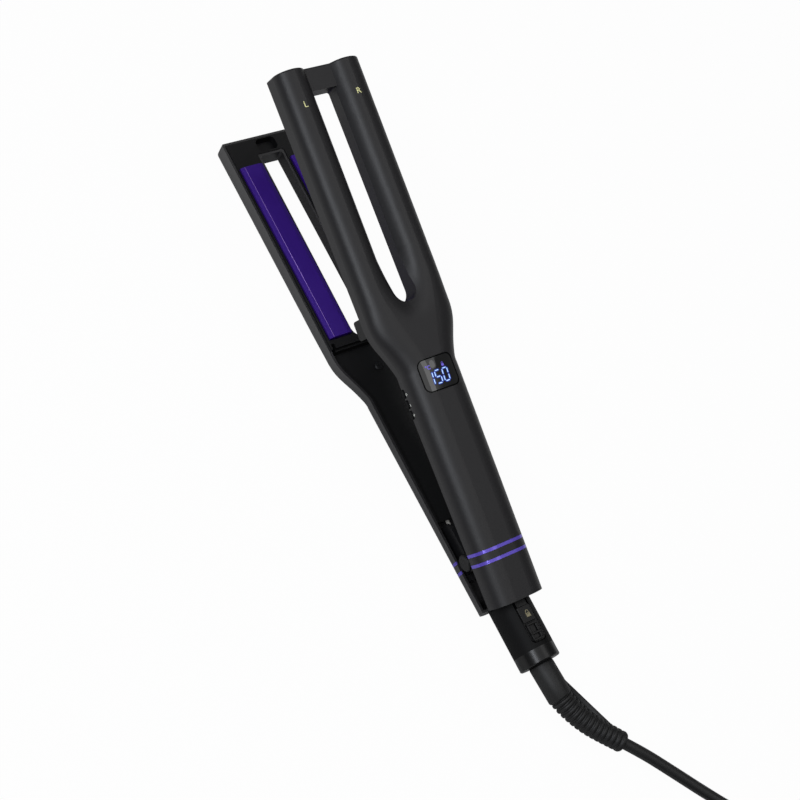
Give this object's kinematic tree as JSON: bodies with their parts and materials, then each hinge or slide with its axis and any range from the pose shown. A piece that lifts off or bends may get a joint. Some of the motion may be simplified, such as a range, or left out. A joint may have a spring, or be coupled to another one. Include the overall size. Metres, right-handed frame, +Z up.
{
  "type": "hair straightener",
  "caption": "Hair straightener with two forked arms, floating heated plates in each barrel, a sprung hinge, lock slider, display, side buttons and a swivel cord.",
  "frame": {"origin": "on the table under the middle of the straightener's length, between its two sides", "axes": "+X along the handles towards the fork's tip, +Y towards the left barrel and the side buttons, +Z up from the table"},
  "size_m": [0.629, 0.1258, 0.1002],
  "materials": {
    "shell_black": "satin charcoal-black plastic",
    "liner_black": "matt black heat-resistant plastic",
    "plate_purple": "metallic purple coating on aluminium",
    "band_purple": "metallic purple",
    "window_black": "glossy smoked",
    "button_black": "satin",
    "collar_black": "gloss black",
    "neck_black": "matt",
    "steel": "plated",
    "spring_steel": "spring wire",
    "heater_ceramic": "white ceramic",
    "silicone_red": "silicone rubber",
    "board_green": "circuit board laminate",
    "copper": "bare copper alloy",
    "cord_black": "matt cord sheath",
    "guard_black": "moulded flexible guard",
    "plug_black": "moulded",
    "pin_nickel": "nickel plate"
  },
  "bodies": {
    "lower_arm": {"lower_shell": "shell_black", "lower_liner": "liner_black", "lower_bands": "band_purple", "lower_hinge_bracket": "neck_black", "lower_hinge_screws": "steel", "lower_liner_screws": "steel", "hinge_pin": "steel", "hinge_caps": "neck_black", "opening_spring": "spring_steel", "lower_pads": "silicone_red", "supply_leads": "silicone_red", "neck_lower": "neck_black", "neck_cover": "neck_black", "neck_collar": "collar_black", "brush_block": "neck_black"},
    "upper_arm": {"upper_shell": "shell_black", "upper_liner": "liner_black", "upper_bands": "band_purple", "upper_hinge_bracket": "neck_black", "upper_hinge_screws": "steel", "upper_liner_screws": "steel", "latch_bar": "steel", "display_window": "window_black", "display_module": "window_black", "control_board": "board_green", "button_switches": "button_black", "upper_pads": "silicone_red", "heater_leads": "silicone_red"},
    "power_button": {"power_button": "button_black"},
    "minus_button": {"minus_button": "button_black"},
    "plus_button": {"plus_button": "button_black"},
    "lock_slider": {"lock_slider": "neck_black"},
    "swivel_cord": {"swivel_bush": "neck_black", "swivel_contacts": "copper", "cord_guard": "guard_black", "cord": "cord_black", "cord_coil": "cord_black", "cord_tail": "cord_black", "cord_tie": "guard_black", "plug_body": "plug_black", "plug_pins": "pin_nickel"},
    "lower_left_plate": {"lower_left_plate": "plate_purple", "lower_left_heater": "heater_ceramic", "lower_left_sensor": "silicone_red"},
    "lower_right_plate": {"lower_right_plate": "plate_purple", "lower_right_heater": "heater_ceramic", "lower_right_sensor": "silicone_red"},
    "upper_left_plate": {"upper_left_plate": "plate_purple", "upper_left_heater": "heater_ceramic", "upper_left_sensor": "silicone_red"},
    "upper_right_plate": {"upper_right_plate": "plate_purple", "upper_right_heater": "heater_ceramic", "upper_right_sensor": "silicone_red"}
  },
  "joints": [
    {"name": "arm_hinge", "type": "hinge", "parent": "lower_arm", "child": "upper_arm", "pos_m": [-0.1021, 0, 0.0179], "axis": [0, 1, 0], "range_deg": [0, 14], "stiffness_Nm_per_rad": 1.5, "springref_deg": -20.05, "deforming": ["opening_spring"]},
    {"name": "lower_left_plate_float", "type": "slide", "parent": "lower_arm", "child": "lower_left_plate", "axis": [0, 0, -1], "range_m": [0, 0.0008], "stiffness_N_per_m": 6000, "springref_m": -0.001},
    {"name": "lower_right_plate_float", "type": "slide", "parent": "lower_arm", "child": "lower_right_plate", "axis": [0, 0, -1], "range_m": [0, 0.0008], "stiffness_N_per_m": 6000, "springref_m": -0.001},
    {"name": "upper_left_plate_float", "type": "slide", "parent": "upper_arm", "child": "upper_left_plate", "axis": [-0.2419, 0, 0.9703], "range_m": [0, 0.0008], "stiffness_N_per_m": 6000, "springref_m": -0.001},
    {"name": "upper_right_plate_float", "type": "slide", "parent": "upper_arm", "child": "upper_right_plate", "axis": [-0.2419, 0, 0.9703], "range_m": [0, 0.0008], "stiffness_N_per_m": 6000, "springref_m": -0.001},
    {"name": "power_button_press", "type": "slide", "parent": "upper_arm", "child": "power_button", "axis": [0, -1, 0], "range_m": [0, 0.0005], "stiffness_N_per_m": 1500, "springref_m": -0.0005},
    {"name": "minus_button_press", "type": "slide", "parent": "upper_arm", "child": "minus_button", "axis": [0, -1, 0], "range_m": [0, 0.0005], "stiffness_N_per_m": 1500, "springref_m": -0.0005},
    {"name": "plus_button_press", "type": "slide", "parent": "upper_arm", "child": "plus_button", "axis": [0, -1, 0], "range_m": [0, 0.0005], "stiffness_N_per_m": 1500, "springref_m": -0.0005},
    {"name": "lock_slide", "type": "slide", "parent": "lower_arm", "child": "lock_slider", "axis": [1, 0, 0], "range_m": [0, 0.006]},
    {"name": "cord_swivel", "type": "hinge", "parent": "lower_arm", "child": "swivel_cord", "pos_m": [-0.1658, 0, 0.0116], "axis": [1, 0, 0], "continuous": true}
  ]
}
